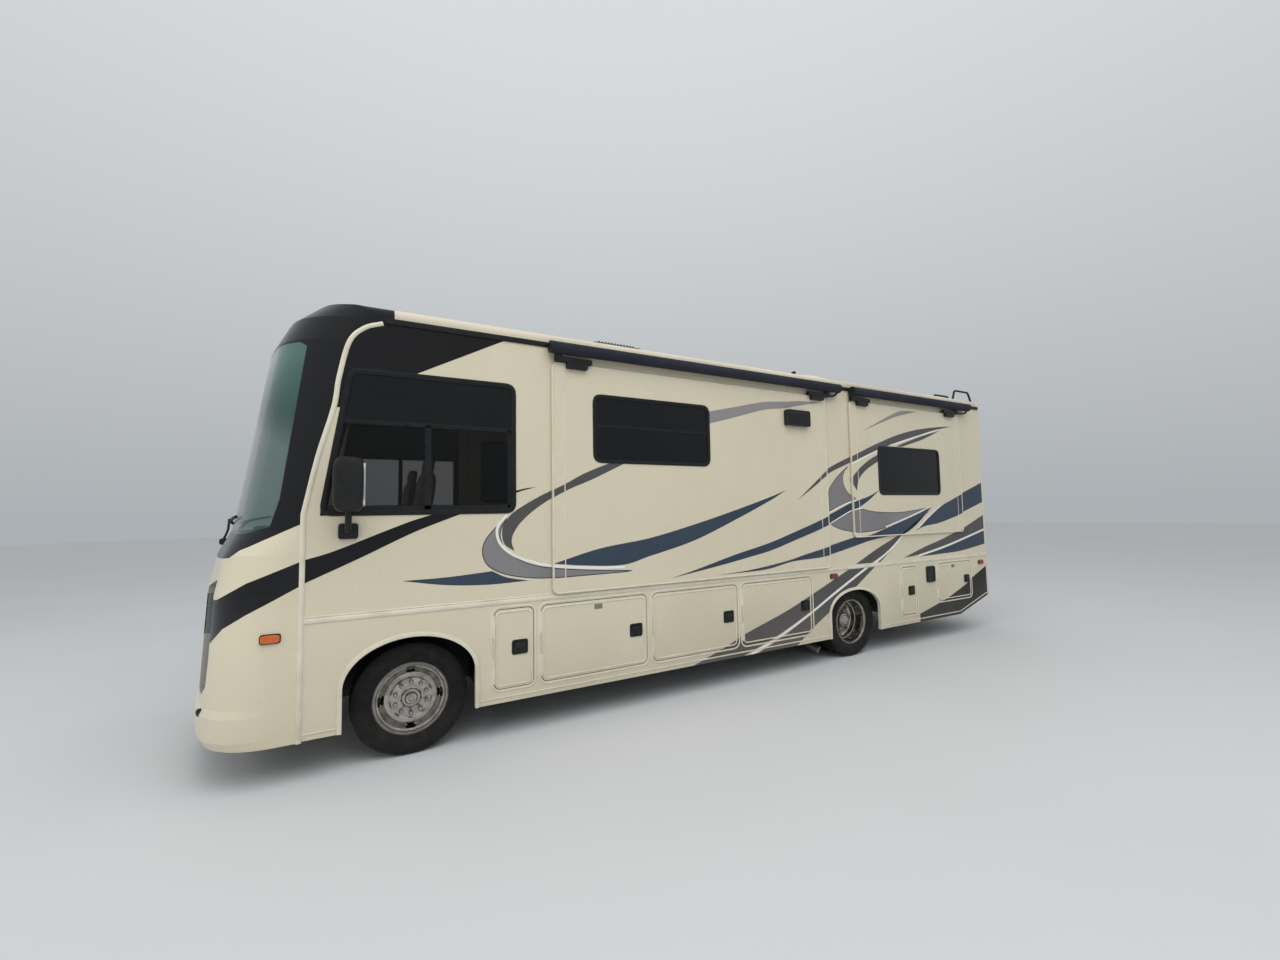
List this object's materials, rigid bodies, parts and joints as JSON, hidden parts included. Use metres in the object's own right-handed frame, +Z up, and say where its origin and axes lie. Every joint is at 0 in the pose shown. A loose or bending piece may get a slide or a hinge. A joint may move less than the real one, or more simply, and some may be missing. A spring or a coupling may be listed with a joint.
{
  "type": "motorhome",
  "caption": "Full-width coach-bodied motorhome on a truck chassis, with slide-out rooms, steered front wheels, dual rear wheels, storage bays and a hitch receiver",
  "frame": {"origin": "on the ground, at the middle of the overall length and width", "axes": "+X forward, +Y to the driver's side, +Z up"},
  "size_m": [9.213, 3.166, 3.706],
  "materials": {
    "cream": "moulded and laminated glass-fibre, gloss cream",
    "black": "gloss black moulding",
    "black_matte": "textured black plastic",
    "frame_steel": "black chassis paint",
    "cast": "bare and dirty castings",
    "chrome": "polished wheel liners",
    "tyre": "rubber with road dust",
    "glass": "dark tinted glass",
    "shield": "green tinted laminated glass",
    "lamp_clear": "clear lamp lenses",
    "lamp_red": "red lamp lenses",
    "seal": "wiper seals",
    "fabric": "tan upholstery",
    "dash": "grained dark dashboard",
    "deck": "plywood floor under vinyl",
    "liner": "galvanised compartment sheet",
    "awning": "rolled navy awning cloth"
  },
  "bodies": {
    "coach": {"front_cap": "cream", "windshield": "shield", "grille": "black", "headlamps": "lamp_clear", "wall_left": "cream", "wall_right": "cream", "side_windows": "glass", "skirt_left": "cream", "skirt_right": "cream", "roof": "cream", "rear_cap": "cream", "floor": "deck", "storage_left": "liner", "storage_right": "liner", "door_hinges": "frame_steel", "slide_seals": "seal", "patio_awning": "cream", "roof_units": "black_matte", "ladder": "black_matte", "tail_lamps": "lamp_red", "mirrors": "black_matte", "dashboard": "dash", "cab_seats": "fabric", "chassis_frame": "frame_steel", "engine": "cast", "fuel_tank": "frame_steel", "exhaust": "chrome", "front_axle": "frame_steel", "rear_axle": "frame_steel"},
    "left_knuckle": {"knuckle_left": "cast"},
    "right_knuckle": {"knuckle_right": "cast"},
    "front_left_wheel": {"tyre_front_left": "tyre", "wheel_front_left": "chrome"},
    "front_right_wheel": {"tyre_front_right": "tyre", "wheel_front_right": "chrome"},
    "rear_left_wheels": {"tyres_rear_left": "tyre", "wheels_rear_left": "chrome"},
    "rear_right_wheels": {"tyres_rear_right": "tyre", "wheels_rear_right": "chrome"},
    "steering": {"steering_wheel": "dash"},
    "front_slide": {"slide_room_front": "cream", "slide_window_front": "glass", "slide_awning_front": "awning"},
    "rear_slide": {"slide_room_rear": "cream", "slide_window_rear": "glass", "slide_awning_rear": "awning"},
    "entry": {"entry_door": "cream", "entry_window": "glass"},
    "step": {"entry_step": "frame_steel"},
    "door_left_1": {"storage_door_left_1": "cream"},
    "door_left_2": {"storage_door_left_2": "cream"},
    "door_left_3": {"storage_door_left_3": "cream"},
    "door_left_4": {"storage_door_left_4": "cream"},
    "door_left_5": {"storage_door_left_5": "cream"},
    "door_left_6": {"storage_door_left_6": "cream"},
    "door_right_1": {"storage_door_right_1": "cream"},
    "door_right_2": {"storage_door_right_2": "cream"},
    "door_right_3": {"storage_door_right_3": "cream"}
  },
  "joints": [
    {"name": "steer_left", "type": "hinge", "parent": "coach", "child": "left_knuckle", "pos_m": [3.1835, 0.96, 0.405], "axis": [0, 0, 1], "range_deg": [-40, 40]},
    {"name": "steer_right", "type": "hinge", "parent": "coach", "child": "right_knuckle", "pos_m": [3.1835, -0.96, 0.405], "axis": [0, 0, 1], "range_deg": [-40, 40]},
    {"name": "steering_wheel_turn", "type": "hinge", "parent": "coach", "child": "steering", "pos_m": [3.8235, 0.68, 1.62], "axis": [-0.5736, 0, 0.8192], "range_deg": [-642, 642]},
    {"name": "spin_front_left", "type": "hinge", "parent": "left_knuckle", "child": "front_left_wheel", "pos_m": [3.1835, 1.1, 0.405], "axis": [0, 1, 0], "continuous": true},
    {"name": "spin_front_right", "type": "hinge", "parent": "right_knuckle", "child": "front_right_wheel", "pos_m": [3.1835, -1.1, 0.405], "axis": [0, 1, 0], "continuous": true},
    {"name": "spin_rear_left", "type": "hinge", "parent": "coach", "child": "rear_left_wheels", "pos_m": [-1.6425, 0.96, 0.405], "axis": [0, 1, 0], "continuous": true},
    {"name": "spin_rear_right", "type": "hinge", "parent": "coach", "child": "rear_right_wheels", "pos_m": [-1.6425, -0.96, 0.405], "axis": [0, 1, 0], "continuous": true},
    {"name": "entry_door_swing", "type": "hinge", "parent": "coach", "child": "entry", "pos_m": [2.3305, -1.285, 1.8], "axis": [0, 0, 1], "range_deg": [0, 105]},
    {"name": "entry_step_slide", "type": "slide", "parent": "coach", "child": "step", "axis": [0, -1, 0], "range_m": [0, 0.27]},
    {"name": "slide_front_extend", "type": "slide", "parent": "coach", "child": "front_slide", "axis": [0, 1, 0], "range_m": [0, 0.76]},
    {"name": "slide_rear_extend", "type": "slide", "parent": "coach", "child": "rear_slide", "axis": [0, 1, 0], "range_m": [0, 0.56]},
    {"name": "storage_left_1_swing", "type": "hinge", "parent": "coach", "child": "door_left_1", "pos_m": [2.5925, 1.285, 0.6865], "axis": [0, 0, -1], "range_deg": [0, 100]},
    {"name": "storage_left_2_swing", "type": "hinge", "parent": "coach", "child": "door_left_2", "pos_m": [2.2075, 1.285, 0.6865], "axis": [0, 0, -1], "range_deg": [0, 100]},
    {"name": "storage_left_3_swing", "type": "hinge", "parent": "coach", "child": "door_left_3", "pos_m": [1.1445, 1.285, 0.6865], "axis": [0, 0, -1], "range_deg": [0, 100]},
    {"name": "storage_left_4_swing", "type": "hinge", "parent": "coach", "child": "door_left_4", "pos_m": [0.0815, 1.285, 0.6865], "axis": [0, 0, -1], "range_deg": [0, 100]},
    {"name": "storage_left_5_swing", "type": "hinge", "parent": "coach", "child": "door_left_5", "pos_m": [-2.5195, 1.285, 0.6875], "axis": [0, 0, -1], "range_deg": [0, 100]},
    {"name": "storage_left_6_swing", "type": "hinge", "parent": "coach", "child": "door_left_6", "pos_m": [-3.2895, 1.285, 0.74], "axis": [0, 0, -1], "range_deg": [0, 100]},
    {"name": "storage_right_1_swing", "type": "hinge", "parent": "coach", "child": "door_right_1", "pos_m": [1.1445, -1.285, 0.6865], "axis": [0, 0, 1], "range_deg": [0, 100]},
    {"name": "storage_right_2_swing", "type": "hinge", "parent": "coach", "child": "door_right_2", "pos_m": [0.0815, -1.285, 0.6865], "axis": [0, 0, 1], "range_deg": [0, 100]},
    {"name": "storage_right_3_swing", "type": "hinge", "parent": "coach", "child": "door_right_3", "pos_m": [-2.5195, -1.285, 0.6875], "axis": [0, 0, 1], "range_deg": [0, 100]}
  ],
  "couplings": [
    {"joint": "steer_right", "follows": "steer_left", "ratio": 1},
    {"joint": "steering_wheel_turn", "follows": "steer_left", "ratio": 16}
  ]
}
